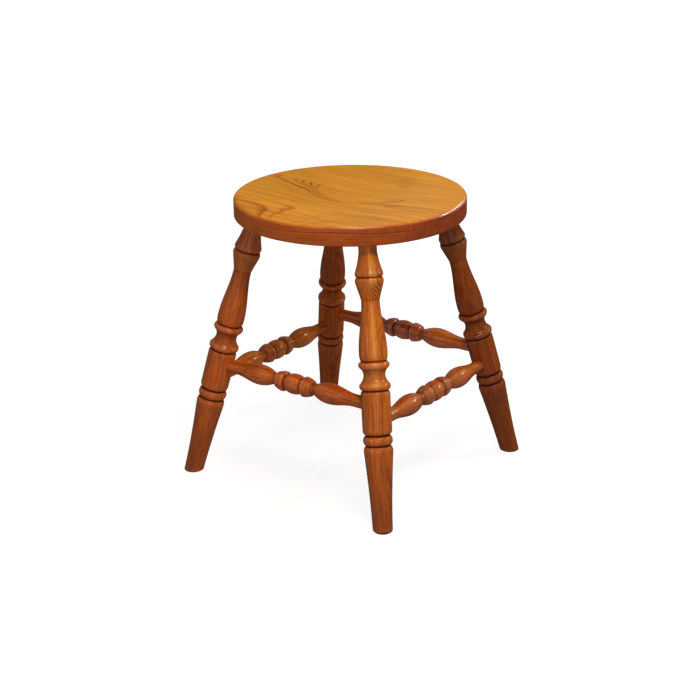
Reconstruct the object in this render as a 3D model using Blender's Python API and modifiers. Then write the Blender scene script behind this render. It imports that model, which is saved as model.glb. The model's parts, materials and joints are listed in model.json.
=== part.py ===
"""Low stool: a round dished seat on four splayed turned legs, tied by four turned stretchers.

Lengths are in metres and +Z is up. The origin is on the floor, under the middle of the seat.
The seat's boards run along Y. The left and right stretchers also run along Y, and sit a little
higher than the front and back ones, so that their tenons pass each other inside the legs.
"""

import math

import bmesh
import bpy
from mathutils import Matrix

MM = 0.001

# Fits: glued wood joints are drawn with this gap all round.
FIT = 0.3 * MM
CUTTER_OVERRUN = 20 * MM

# Seat
SEAT_HEIGHT = 457.2 * MM
SEAT_RADIUS = 183.3 * MM
SEAT_THICKNESS = 30.6 * MM
SEAT_TOP_ROUND = 5 * MM
SEAT_BOTTOM_ROUND = 3 * MM
RIM_WIDTH = 14 * MM
DISH_DEPTH = 9 * MM
SEAT_SIDES = 64

# Seat boards: seams lie at this place and at every board width to either side of it.
BOARD_WIDTH = 106.5 * MM
SEAM_PLACE = 30 * MM
NARROWEST_BOARD = 30 * MM

# Dowels across the seams
DOWEL_RADIUS = 4 * MM
DOWEL_LENGTH = 40 * MM
DOWEL_RISE = 10 * MM
DOWEL_FROM_LEG = 50 * MM
DOWEL_SIDES = 12

# Legs: place and lean
LEG_INSET = 33.8 * MM
LEG_PLAN_ANGLE = math.radians(46.25)
LEG_SPLAY = math.radians(15.17)
LEG_SIDES = 20

# Leg tenon and its hidden wedge
SOCKET_COVER = 6 * MM
KERF_DEPTH = 14 * MM
WEDGE_BUTT = 3 * MM
WEDGE_TIP = 1 * MM
WEDGE_INSET = 1.5 * MM

# Leg turning, from the seat down
LEG_NECK_LENGTH = 16 * MM
LEG_NECK_RADIUS = 14 * MM
TRUMPET_LENGTH = 33.5 * MM
TRUMPET_RADIUS = 21.6 * MM
COLLAR_GROOVE_WIDTH = 12 * MM
COLLAR_GROOVE_RADIUS = 18.5 * MM
CUP_RADIUS = 21.9 * MM
CUP_LENGTH = 28.5 * MM
WAIST_RADIUS = 14.1 * MM
VASE_SHARE = 0.394
VASE_RADIUS = 21.7 * MM
VASE_END_LENGTH = 11.5 * MM
VASE_GROOVE_RADIUS = 19 * MM
UPPER_BEAD_WIDTH = 11.5 * MM
UPPER_BEAD_RADIUS = 23.8 * MM
COVE_WIDTH = 19.5 * MM
COVE_EDGE_RADIUS = 21 * MM
COVE_RADIUS = 17.1 * MM
LOWER_BEAD_WIDTH = 13.8 * MM
LOWER_BEAD_RADIUS = 23.9 * MM
BARREL_GROOVE_RADIUS = 20.3 * MM
BARREL_LENGTH = 68.2 * MM
BARREL_RADIUS = 22.5 * MM
BARREL_ROUND = 3.5 * MM
RING_GROOVE_RADIUS = 18.8 * MM
RING_WIDTH = 15.8 * MM
RING_RADIUS = 22.7 * MM
SHOULDER_LENGTH = 8.7 * MM
SHOULDER_RADIUS = 22.5 * MM
FOOT_RADIUS = 15.5 * MM
FOOT_EASE = 3 * MM

# Stretchers: place and tenons
STRETCHER_DROP = 24.5 * MM
MORTISE_WALL = 3.4 * MM
STRETCHER_END_RADIUS = 10 * MM
STRETCHER_END_LENGTH = 16 * MM
TENON_PAST_AXIS = 5 * MM
STRETCHER_SIDES = 16

# Stretcher turning, from the middle out
SWELL_LENGTH = 16 * MM
SWELL_RADIUS = 16.3 * MM
SWELL_GROOVE_RADIUS = 12 * MM
STRETCHER_RING_WIDTH = 22.5 * MM
STRETCHER_RING_RADIUS = 16.3 * MM
RING_FOOT_RADIUS = 10 * MM
STRETCHER_WAIST_LENGTH = 2.5 * MM
STRETCHER_WAIST_RADIUS = 9.1 * MM
BELLY_SHARE = 0.38
BELLY_RADIUS = 16.4 * MM

# Finish: linear colours under a varnish; the hidden pieces are bare wood
SEAT_COLOUR = (0.48, 0.17, 0.035)
LEG_COLOUR = (0.35, 0.085, 0.018)
STRETCHER_COLOUR = (0.33, 0.08, 0.017)
WEDGE_COLOUR = (0.5, 0.28, 0.12)
DOWEL_COLOUR = (0.55, 0.36, 0.18)
VARNISH_ROUGHNESS = 0.3
BARE_ROUGHNESS = 0.6
CREASE_ANGLE = math.radians(35)

# How quickly the trumpet and the lower taper swell
SWEEP_POWER = 1.5

# Places that follow from the sizes above
UNDERSIDE = SEAT_HEIGHT - SEAT_THICKNESS
LEG_TOP_REACH = SEAT_RADIUS - LEG_INSET
LEG_LENGTH = UNDERSIDE / math.cos(LEG_SPLAY)
TENON_ROOM = SEAT_THICKNESS - SOCKET_COVER - LEG_NECK_RADIUS * math.sin(LEG_SPLAY)
LEG_TENON_LENGTH = TENON_ROOM / math.cos(LEG_SPLAY)

LEG_CORNERS = {
    "front_left": (-1, -1),
    "front_right": (1, -1),
    "back_right": (1, 1),
    "back_left": (-1, 1),
}


def straight(share):
    """An even slope."""
    return share


def sweep(share):
    """A trumpet: slow at first, then faster."""
    return share ** SWEEP_POWER


def settle(share):
    """The reverse of a trumpet: fast at first, then slower."""
    return 1 - (1 - share) ** SWEEP_POWER


def ease(share):
    """A level start and a level end, as on the side of a vase."""
    return (1 - math.cos(math.pi * share)) / 2


def round_over(share):
    """A quarter round that starts level and ends steep."""
    return 1 - math.sqrt(1 - share ** 2)


def round_up(share):
    """A quarter round that starts steep and ends level."""
    return math.sqrt(1 - (1 - share) ** 2)


def hollow_in(share):
    """Half of a shallow hollow, down to its level bottom."""
    return 1 - (1 - share) ** 2


def hollow_out(share):
    """Half of a shallow hollow, up from its level bottom."""
    return share ** 2


def run_profile(start, cuts):
    """Follows a turner's cuts from a start point and gives (distance, radius) points.

    Each cut is (length, radius at its end, shape of the slope, number of points).
    """
    points = [start]
    for length, radius, shape, count in cuts:
        from_distance, from_radius = points[-1]
        for step in range(1, count + 1):
            share = step / count
            distance = from_distance + length * share
            points.append((distance, from_radius + (radius - from_radius) * shape(share)))
    return points


def cuts_length(cuts):
    """The summed length of a list of cuts."""
    return sum(cut[0] for cut in cuts)


def leg_cuts():
    """The cuts of one leg in two lists: down to the barrel's top groove, and from there to the foot."""
    groove_side = COLLAR_GROOVE_WIDTH / 2
    above_vase = [
        (LEG_NECK_LENGTH, LEG_NECK_RADIUS, straight, 1),
        (TRUMPET_LENGTH, TRUMPET_RADIUS, sweep, 4),
        (groove_side, COLLAR_GROOVE_RADIUS, round_over, 2),
        (groove_side, CUP_RADIUS, round_up, 2),
        (CUP_LENGTH, WAIST_RADIUS, straight, 1),
    ]
    under_vase = [
        (VASE_END_LENGTH, VASE_GROOVE_RADIUS, round_over, 2),
        (UPPER_BEAD_WIDTH / 2, UPPER_BEAD_RADIUS, round_up, 2),
        (UPPER_BEAD_WIDTH / 2, COVE_EDGE_RADIUS, round_over, 2),
        (COVE_WIDTH / 2, COVE_RADIUS, hollow_in, 2),
        (COVE_WIDTH / 2, COVE_EDGE_RADIUS, hollow_out, 2),
        (LOWER_BEAD_WIDTH / 2, LOWER_BEAD_RADIUS, round_up, 2),
        (LOWER_BEAD_WIDTH / 2, BARREL_GROOVE_RADIUS, round_over, 2),
    ]
    from_barrel = [
        (BARREL_ROUND, BARREL_RADIUS, round_up, 2),
        (BARREL_LENGTH - 2 * BARREL_ROUND, BARREL_RADIUS, straight, 1),
        (BARREL_ROUND, RING_GROOVE_RADIUS, round_over, 2),
        (RING_WIDTH / 2, RING_RADIUS, round_up, 2),
        (RING_WIDTH / 2, RING_GROOVE_RADIUS, round_over, 2),
        (SHOULDER_LENGTH, SHOULDER_RADIUS, round_up, 2),
    ]
    fixed_length = cuts_length(above_vase) + cuts_length(under_vase) + cuts_length(from_barrel)
    free_length = LEG_LENGTH - fixed_length
    vase_length = free_length * VASE_SHARE
    vase = [(vase_length, VASE_RADIUS, ease, 5)]
    taper = [(free_length - vase_length, FOOT_RADIUS, settle, 4)]
    return above_vase + vase + under_vase, from_barrel + taper


UPPER_CUTS, LOWER_CUTS = leg_cuts()
UPPER_STRETCHER_Z = UNDERSIDE - (cuts_length(UPPER_CUTS) + STRETCHER_DROP) * math.cos(LEG_SPLAY)
LOWER_STRETCHER_Z = UPPER_STRETCHER_Z - 2 * (STRETCHER_END_RADIUS + FIT) - MORTISE_WALL


def leg_reach(height):
    """How far a leg's axis stands out from the middle of the stool at this height."""
    return LEG_TOP_REACH + (UNDERSIDE - height) * math.tan(LEG_SPLAY)


def clear_scene():
    """Removes every object of the scene."""
    for thing in list(bpy.data.objects):
        bpy.data.objects.remove(thing, do_unlink=True)


def new_collection(name):
    """Adds a collection to the scene."""
    collection = bpy.data.collections.new(name)
    bpy.context.scene.collection.children.link(collection)
    return collection


def stained_wood(name, colour, roughness):
    """A plain stained and varnished wood for one sort of piece."""
    material = bpy.data.materials.new(name)
    material.use_nodes = True
    shader = material.node_tree.nodes["Principled BSDF"]
    shader.inputs["Base Color"].default_value = (*colour, 1)
    shader.inputs["Roughness"].default_value = roughness
    shader.inputs["Metallic"].default_value = 0
    return material


def turned_mesh(name, profile, sides):
    """Turns a profile about Z: a list of (distance, radius), with distance counted downwards.

    Flat ends close it wherever it starts or stops away from the axis.
    """
    top, bottom = profile[0], profile[-1]
    outline = list(profile)
    if top[1] > 0:
        outline.insert(0, (top[0], 0))
    if bottom[1] > 0:
        outline.append((bottom[0], 0))
    lathe_mesh = bpy.data.meshes.new(name)
    corners = [(radius, 0, -distance) for distance, radius in outline]
    lathe_mesh.from_pydata(corners, [(i, i + 1) for i in range(len(corners) - 1)], [])
    lathe = bpy.data.objects.new(name + "_profile", lathe_mesh)
    bpy.context.scene.collection.objects.link(lathe)
    screw = lathe.modifiers.new("turning", "SCREW")
    screw.axis = "Z"
    screw.steps = sides
    screw.render_steps = sides
    screw.use_merge_vertices = True
    screw.merge_threshold = 0.01 * MM
    turned = bpy.data.meshes.new_from_object(lathe.evaluated_get(bpy.context.evaluated_depsgraph_get()))
    turned.name = name
    bpy.data.objects.remove(lathe, do_unlink=True)
    bpy.data.meshes.remove(lathe_mesh)
    turned.shade_smooth()
    turned.set_sharp_from_angle(angle=CREASE_ANGLE)
    return turned


def block_mesh(name, size, tip_thickness=None):
    """A block of this (width, thickness, height) about the origin, its lower end thinned to a tip."""
    width, thickness, height = size
    block = bmesh.new()
    bmesh.ops.create_cube(block, size=1)
    for corner in block.verts:
        is_tip = corner.co.z < 0 and tip_thickness is not None
        corner.co.x *= width
        corner.co.y *= tip_thickness if is_tip else thickness
        corner.co.z *= height
    mesh = bpy.data.meshes.new(name)
    block.to_mesh(mesh)
    block.free()
    return mesh


def place(name, mesh, collection, location=(0, 0, 0), rotation=(0, 0, 0)):
    """Puts a mesh into the scene as a named object."""
    thing = bpy.data.objects.new(name, mesh)
    thing.location = location
    thing.rotation_euler = rotation
    collection.objects.link(thing)
    return thing


def place_cutter(name, mesh, collection, location=(0, 0, 0), rotation=(0, 0, 0)):
    """Puts in a shape that only cuts other pieces."""
    cutter = place(name, mesh, collection, location, rotation)
    cutter.hide_render = True
    cutter.display_type = "WIRE"
    return cutter


def place_piece(name, mesh, material, collection, parent, location=(0, 0, 0), rotation=(0, 0, 0)):
    """Puts in a piece of the stool, with its material, under the stool's own empty."""
    piece = place(name, mesh, collection, location, rotation)
    piece.parent = parent
    piece.data.materials.clear()
    piece.data.materials.append(material)
    return piece


def cut_with(piece, label, operation, cutter=None, collection=None):
    """Cuts a piece with one shape, or with every shape of a collection."""
    cut = piece.modifiers.new(label, "BOOLEAN")
    cut.operation = operation
    cut.solver = "EXACT"
    if collection is not None:
        cut.operand_type = "COLLECTION"
        cut.collection = collection
    else:
        cut.object = cutter


def level_foot(mesh):
    """Slants the foot's rings along the leg, so that the splayed leg stands level on the floor."""
    foot_top = -(LEG_LENGTH - 2 * FOOT_EASE)
    for corner in mesh.vertices:
        if corner.co.z < foot_top:
            corner.co.z -= corner.co.x * math.tan(LEG_SPLAY)


def lean_across_grain(angle):
    """A leg's lean for a wedge that lies across the seat's grain, so that it spreads the tenon along it."""
    to_leg = Matrix.Rotation(angle, 3, "Z")
    lean = Matrix.Rotation(-LEG_SPLAY, 3, "Y")
    return (to_leg @ lean @ to_leg.inverted()).to_euler()


def leg_mesh():
    """A leg with its tenon on top, its axis along Z and its neck's top at the origin."""
    tenon = (-LEG_TENON_LENGTH, LEG_NECK_RADIUS)
    profile = [tenon] + run_profile((0, LEG_NECK_RADIUS), UPPER_CUTS + LOWER_CUTS)
    profile.pop()
    ease_height = LEG_LENGTH - FOOT_EASE
    profile += [(ease_height, FOOT_RADIUS), (LEG_LENGTH, FOOT_RADIUS - FOOT_EASE)]
    mesh = turned_mesh("leg", profile, LEG_SIDES)
    level_foot(mesh)
    return mesh


def stretcher_mesh(name, half_span, tenon_tip):
    """A stretcher along Z about its middle: half_span reaches the leg's skin, tenon_tip its end."""
    middle = [
        (SWELL_LENGTH, SWELL_GROOVE_RADIUS, hollow_out, 2),
        (STRETCHER_RING_WIDTH / 2, STRETCHER_RING_RADIUS, hollow_in, 2),
        (STRETCHER_RING_WIDTH / 2, RING_FOOT_RADIUS, hollow_out, 3),
        (STRETCHER_WAIST_LENGTH, STRETCHER_WAIST_RADIUS, straight, 1),
    ]
    vase_length = half_span - STRETCHER_END_LENGTH - cuts_length(middle)
    belly = vase_length * BELLY_SHARE
    vase = [
        (belly, BELLY_RADIUS, hollow_in, 4),
        (vase_length - belly, STRETCHER_END_RADIUS, ease, 4),
    ]
    lower_half = run_profile((0, SWELL_RADIUS), middle + vase)
    lower_half.append((tenon_tip, STRETCHER_END_RADIUS))
    upper_half = [(-distance, radius) for distance, radius in reversed(lower_half[1:])]
    return turned_mesh(name, upper_half + lower_half, STRETCHER_SIDES)


def seat_mesh():
    """The whole seat as one turned disc, with its dish, its flat rim and its rounded edges."""
    rim_inside = SEAT_RADIUS - SEAT_TOP_ROUND - RIM_WIDTH
    dish_steps = 7
    round_steps = 3
    profile = []
    for step in range(dish_steps + 1):
        share = step / dish_steps
        profile.append((DISH_DEPTH * (1 - ease(share)), rim_inside * share))
    for step in range(round_steps + 1):
        turn = math.pi / 2 * step / round_steps
        drop = SEAT_TOP_ROUND * (1 - math.cos(turn))
        profile.append((drop, SEAT_RADIUS - SEAT_TOP_ROUND * (1 - math.sin(turn))))
    for step in range(round_steps + 1):
        turn = math.pi / 2 * step / round_steps
        drop = SEAT_THICKNESS - SEAT_BOTTOM_ROUND * (1 - math.sin(turn))
        profile.append((drop, SEAT_RADIUS - SEAT_BOTTOM_ROUND * (1 - math.cos(turn))))
    return turned_mesh("seat", profile, SEAT_SIDES)


def seam_places():
    """Where the seat's glue seams lie along X, from left to right."""
    furthest = SEAT_RADIUS - NARROWEST_BOARD
    first = math.ceil((-furthest - SEAM_PLACE) / BOARD_WIDTH)
    last = math.floor((furthest - SEAM_PLACE) / BOARD_WIDTH)
    return [SEAM_PLACE + BOARD_WIDTH * number for number in range(first, last + 1)]


def build_legs(stool, parent, cutters, sockets, mortises):
    """Four legs with their tenons' kerfs and wedges, and the sockets that they need in the seat."""
    wood = stained_wood("leg_wood", LEG_COLOUR, VARNISH_ROUGHNESS)
    wedge_wood = stained_wood("wedge_wood", WEDGE_COLOUR, BARE_ROUGHNESS)
    mesh = leg_mesh()
    socket_profile = [
        (-LEG_TENON_LENGTH - FIT, LEG_NECK_RADIUS + FIT),
        (CUTTER_OVERRUN, LEG_NECK_RADIUS + FIT),
    ]
    socket = turned_mesh("leg_socket", socket_profile, LEG_SIDES)
    wedge_width = 2 * (LEG_NECK_RADIUS - WEDGE_INSET)
    wedge = block_mesh("wedge", (wedge_width, WEDGE_BUTT, KERF_DEPTH), WEDGE_TIP)
    kerf_width = 2 * (LEG_NECK_RADIUS + CUTTER_OVERRUN)
    kerf_size = (kerf_width, WEDGE_BUTT + 2 * FIT, KERF_DEPTH + 2 * FIT)
    kerf = block_mesh("kerf", kerf_size, WEDGE_TIP + 2 * FIT)
    for corner, (side_x, side_y) in LEG_CORNERS.items():
        angle = math.atan2(side_y * math.sin(LEG_PLAN_ANGLE), side_x * math.cos(LEG_PLAN_ANGLE))
        top = (LEG_TOP_REACH * math.cos(angle), LEG_TOP_REACH * math.sin(angle), UNDERSIDE)
        lean = (0, -LEG_SPLAY, angle)
        leg = place_piece("leg_" + corner, mesh.copy(), wood, stool, parent, top, lean)
        place_cutter("socket_" + corner, socket, sockets, top, lean)
        wedge_drop = LEG_TENON_LENGTH - KERF_DEPTH / 2
        wedge_place = (
            top[0] - wedge_drop * math.sin(LEG_SPLAY) * math.cos(angle),
            top[1] - wedge_drop * math.sin(LEG_SPLAY) * math.sin(angle),
            top[2] + wedge_drop * math.cos(LEG_SPLAY),
        )
        across_grain = lean_across_grain(angle)
        wedge_name = "wedge_" + corner
        place_piece(wedge_name, wedge.copy(), wedge_wood, stool, parent, wedge_place, across_grain)
        kerf_cutter = place_cutter("kerf_" + corner, kerf, cutters, wedge_place, across_grain)
        cut_with(leg, "mortises", "DIFFERENCE", collection=mortises)
        cut_with(leg, "kerf", "DIFFERENCE", cutter=kerf_cutter)


def build_stretchers(stool, parent, mortises):
    """Two higher stretchers along Y and two lower ones along X, and the mortises that they need."""
    wood = stained_wood("stretcher_wood", STRETCHER_COLOUR, VARNISH_ROUGHNESS)
    leg_skin = BARREL_RADIUS / math.cos(LEG_SPLAY)
    upper_x = leg_reach(UPPER_STRETCHER_Z) * math.cos(LEG_PLAN_ANGLE)
    upper_half = leg_reach(UPPER_STRETCHER_Z) * math.sin(LEG_PLAN_ANGLE)
    lower_y = leg_reach(LOWER_STRETCHER_Z) * math.sin(LEG_PLAN_ANGLE)
    lower_half = leg_reach(LOWER_STRETCHER_Z) * math.cos(LEG_PLAN_ANGLE)
    along_y = (-math.pi / 2, 0, 0)
    along_x = (0, math.pi / 2, 0)
    runs = {
        "left": ((-upper_x, 0, UPPER_STRETCHER_Z), along_y, upper_half),
        "right": ((upper_x, 0, UPPER_STRETCHER_Z), along_y, upper_half),
        "front": ((0, -lower_y, LOWER_STRETCHER_Z), along_x, lower_half),
        "back": ((0, lower_y, LOWER_STRETCHER_Z), along_x, lower_half),
    }
    for side, (middle, turn, half) in runs.items():
        tip = half + TENON_PAST_AXIS
        mesh = stretcher_mesh("stretcher_" + side, half - leg_skin, tip)
        place_piece("stretcher_" + side, mesh, wood, stool, parent, middle, turn)
        bore_end = tip + FIT
        bore_profile = [
            (-bore_end, STRETCHER_END_RADIUS + FIT),
            (bore_end, STRETCHER_END_RADIUS + FIT),
        ]
        bore = turned_mesh("mortise_" + side, bore_profile, STRETCHER_SIDES)
        place_cutter("mortise_" + side, bore, mortises, middle, turn)


def build_dowels(stool, parent, dowel_holes, seams):
    """Two dowels across each seam of the seat, and the holes that they need."""
    wood = stained_wood("dowel_wood", DOWEL_COLOUR, BARE_ROUGHNESS)
    half = DOWEL_LENGTH / 2
    dowel = turned_mesh("dowel", [(-half, DOWEL_RADIUS), (half, DOWEL_RADIUS)], DOWEL_SIDES)
    hole_profile = [(-half - FIT, DOWEL_RADIUS + FIT), (half + FIT, DOWEL_RADIUS + FIT)]
    hole = turned_mesh("dowel_hole", hole_profile, DOWEL_SIDES)
    along_x = (0, math.pi / 2, 0)
    from_middle = LEG_TOP_REACH * math.sin(LEG_PLAN_ANGLE) - DOWEL_FROM_LEG
    for number, seam in enumerate(seams, start=1):
        for end, side_y in (("front", -1), ("back", 1)):
            spot = (seam, side_y * from_middle, UNDERSIDE + DOWEL_RISE)
            name = "dowel_{}_{}".format(number, end)
            place_piece(name, dowel.copy(), wood, stool, parent, spot, along_x)
            place_cutter("hole_" + name, hole, dowel_holes, spot, along_x)


def build_seat(stool, parent, cutters, sockets, dowel_holes, seams):
    """The seat's boards: slices of the turned disc, with leg sockets and dowel holes."""
    disc = seat_mesh()
    outside = SEAT_RADIUS + CUTTER_OVERRUN
    edges = [-outside] + seams + [outside]
    for number, (left, right) in enumerate(zip(edges, edges[1:]), start=1):
        name = "seat_board_{}".format(number)
        wood = stained_wood(name + "_wood", SEAT_COLOUR, VARNISH_ROUGHNESS)
        board = place_piece(name, disc.copy(), wood, stool, parent, (0, 0, SEAT_HEIGHT))
        slab = block_mesh(name + "_slab", (right - left - FIT, 2 * outside, 2 * outside))
        slab_cutter = place_cutter(name + "_slab", slab, cutters, ((left + right) / 2, 0, SEAT_HEIGHT))
        cut_with(board, "board", "INTERSECT", cutter=slab_cutter)
        cut_with(board, "leg_sockets", "DIFFERENCE", collection=sockets)
        cut_with(board, "dowel_holes", "DIFFERENCE", collection=dowel_holes)


def main():
    """Builds the stool."""
    clear_scene()
    stool = new_collection("turned_stool")
    cutters = new_collection("cutters")
    sockets = new_collection("leg_sockets")
    mortises = new_collection("mortises")
    dowel_holes = new_collection("dowel_holes")
    parent = bpy.data.objects.new("stool_origin", None)
    stool.objects.link(parent)
    seams = seam_places()
    build_stretchers(stool, parent, mortises)
    build_legs(stool, parent, cutters, sockets, mortises)
    build_dowels(stool, parent, dowel_holes, seams)
    build_seat(stool, parent, cutters, sockets, dowel_holes, seams)


main()
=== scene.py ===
"""Dresses the low turned-leg stool: turned legs and stretchers, a dished seat of boards, stained wood.

Lengths are in metres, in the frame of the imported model, unless a name ends in _mm.
"""

import json
import logging
import math
from dataclasses import dataclass, field, replace
from enum import Enum
from typing import Any, Callable

import bmesh
import bpy
import numpy as np
from mathutils import Matrix, Vector


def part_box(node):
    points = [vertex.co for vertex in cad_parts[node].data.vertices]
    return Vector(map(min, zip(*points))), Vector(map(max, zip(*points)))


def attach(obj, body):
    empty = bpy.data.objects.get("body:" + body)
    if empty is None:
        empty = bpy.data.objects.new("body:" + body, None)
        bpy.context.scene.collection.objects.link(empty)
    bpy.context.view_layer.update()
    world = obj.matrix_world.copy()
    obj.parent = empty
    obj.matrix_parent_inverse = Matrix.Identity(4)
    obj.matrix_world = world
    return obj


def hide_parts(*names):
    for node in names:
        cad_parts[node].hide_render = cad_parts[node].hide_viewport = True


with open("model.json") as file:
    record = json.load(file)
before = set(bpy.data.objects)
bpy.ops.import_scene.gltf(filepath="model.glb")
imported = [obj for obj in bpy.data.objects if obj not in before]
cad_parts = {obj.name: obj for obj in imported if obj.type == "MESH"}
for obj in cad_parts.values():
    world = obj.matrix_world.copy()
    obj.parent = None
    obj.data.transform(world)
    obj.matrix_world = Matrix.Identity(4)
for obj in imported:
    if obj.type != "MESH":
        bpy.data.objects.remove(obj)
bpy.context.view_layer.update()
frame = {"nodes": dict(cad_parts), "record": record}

LOG = logging.getLogger("stool")
MM = 0.001
BODY = "root"
WHITE = "#FFFFFF"
X, Y, Z = np.eye(3)

# A turned outline has a point about every half millimetre, and at least a few on each cut.
STEP_MM = 0.55
LEAST_STEPS = 8
# Sanding and varnish round it a little, worked out on a finer, even scale.
EVEN_MM = 0.2
SANDED_MM = 0.3
# Edges that turn more than this stay sharp.
SHARP_DEG = 38
# Year rings this far apart leave a board to its loops.
NO_RINGS_MM = 1e4

# How much of the varnish's gloss is left: rubbed flat on broad faces, fuller on crests and on the rim.
TURNED_POLISH = 0.07
CREST_POLISH = 0.11
FLAT_POLISH = 0.026

Tree = bpy.types.NodeTree
Socket = bpy.types.NodeSocket
Mesh = bpy.types.Mesh
Material = bpy.types.Material
Skin = bmesh.types.BMesh
Array = np.ndarray
Pair = tuple[float, float]
Shape = Callable[[Array], Array]


def linear(hex_colour: str) -> tuple[float, float, float, float]:
    """Turns an sRGB hex value into a linear colour.

    Args:
        hex_colour: six hex digits with a leading #.

    Returns:
        Linear red, green, blue and a full alpha.
    """
    parts = [int(hex_colour[place:place + 2], 16) / 255 for place in (1, 3, 5)]
    bent = [part / 12.92 if part <= 0.04045 else ((part + 0.055) / 1.055) ** 2.4 for part in parts]
    return (bent[0], bent[1], bent[2], 1.0)


def add(tree: Tree, kind: str, feeds: dict[Any, Any] | None = None, **settings: Any) -> bpy.types.Node:
    """Adds one node with its settings and links.

    Args:
        tree: the node tree that gets the node.
        kind: the node's type name.
        feeds: input name or number to a value, or to the output socket that feeds it.
        settings: the node's own properties.

    Returns:
        The new node.
    """
    node = tree.nodes.new(kind)
    for name, value in settings.items():
        setattr(node, name, value)
    for key, value in (feeds or {}).items():
        if isinstance(value, Socket):
            tree.links.new(value, node.inputs[key])
        else:
            node.inputs[key].default_value = value
    return node


def calculate(tree: Tree, operation: str, *values: Any, **settings: Any) -> Socket:
    """Adds a math node that takes numbers or sockets in order, and gives its result."""
    return add(tree, "ShaderNodeMath", dict(enumerate(values)), operation=operation, **settings).outputs[0]


def attribute(tree: Tree, name: str) -> Socket:
    """Reads a number that the mesh stores for each point."""
    return add(tree, "ShaderNodeAttribute", attribute_name=name).outputs["Fac"]


def ramp(tree: Tree, value: Socket, span: Pair, low: float = 0.0, high: float = 1.0) -> Socket:
    """Adds a smooth step of a value, from low at the span's start to high at its end."""
    feeds = {"Value": value, "From Min": span[0], "From Max": span[1], "To Min": low, "To Max": high}
    return add(tree, "ShaderNodeMapRange", feeds, interpolation_type="SMOOTHSTEP").outputs["Result"]


def lay(tree: Tree, share: Socket, under: Any, hex_colour: str, blend: str = "MIX") -> Socket:
    """Lays a share of a colour over another: inputs 0, 6 and 7 are the share, the under and the over."""
    feeds = {0: share, 6: under, 7: linear(hex_colour)}
    return add(tree, "ShaderNodeMix", feeds, data_type="RGBA", blend_type=blend).outputs[2]


def emptied(owner: Material | bpy.types.World) -> Tree:
    """Gives a material or world an empty node tree.

    Args:
        owner: the material or world.

    Returns:
        Its node tree.
    """
    owner.use_nodes = True
    owner.node_tree.nodes.clear()
    return owner.node_tree


def put(name: str, data: bpy.types.ID) -> bpy.types.Object:
    """Adds an object to the scene.

    Args:
        name: the object's name.
        data: its mesh, lamp or camera.

    Returns:
        The new object.
    """
    thing = bpy.data.objects.new(name, data)
    bpy.context.scene.collection.objects.link(thing)
    return thing


# Turned profiles: how a slope runs between two radii, as a share of the rise for a share of the length.

def straight(share: Array) -> Array:
    """An even slope."""
    return share


def sweep(share: Array) -> Array:
    """A trumpet: the share to the power 1.5, slow at first."""
    return share ** 1.5


def settle(share: Array) -> Array:
    """The reverse of a trumpet, fast at first."""
    return 1 - (1 - share) ** 1.5


def ease(share: Array) -> Array:
    """Half a cosine wave, level at both ends."""
    return (1 - np.cos(np.pi * share)) / 2


def cup_side(share: Array) -> Array:
    """Three parts of an even slope to one part of a cosine wave."""
    return 0.75 * share + 0.25 * ease(share)


def round_over(share: Array) -> Array:
    """A quarter ellipse that starts level and ends steep."""
    return 1 - np.sqrt(np.clip(1 - share ** 2, 0, 1))


def round_up(share: Array) -> Array:
    """A quarter ellipse that starts steep and ends level."""
    return np.sqrt(np.clip(1 - (1 - share) ** 2, 0, 1))


def hollow_in(share: Array) -> Array:
    """Half a parabola, down to its level bottom."""
    return 1 - (1 - share) ** 2


def hollow_out(share: Array) -> Array:
    """Half a parabola, up from its level bottom."""
    return share ** 2


def bell(away: Array) -> Array:
    """A bell curve that is 1 at nought: e to the power of minus half the square."""
    return np.exp(-0.5 * away ** 2)


def fade(value: Array, start: float, end: float) -> Array:
    """Half a cosine wave that rises from 0 at the start to 1 at the end."""
    return ease(np.clip((value - start) / (end - start), 0, 1))


def off_side(turn_deg: Array, side_deg: float) -> Array:
    """The way round from one side, from -180 to 180 degrees."""
    return (turn_deg - side_deg + 180) % 360 - 180


def full_turn(sides: int) -> Array:
    """Even directions round a circle, in radians."""
    return np.linspace(0, 2 * np.pi, sides, endpoint=False)


@dataclass(frozen=True)
class Cut:
    """One cut of the turner's chisel: its length, the radius at its end and the shape of its slope."""

    length_mm: float
    radius_mm: float
    shape: Shape


def cut_rows(*rows: tuple[float, float, Shape]) -> list[Cut]:
    """Makes cuts of rows of length, end radius and slope."""
    return [Cut(*row) for row in rows]


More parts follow.
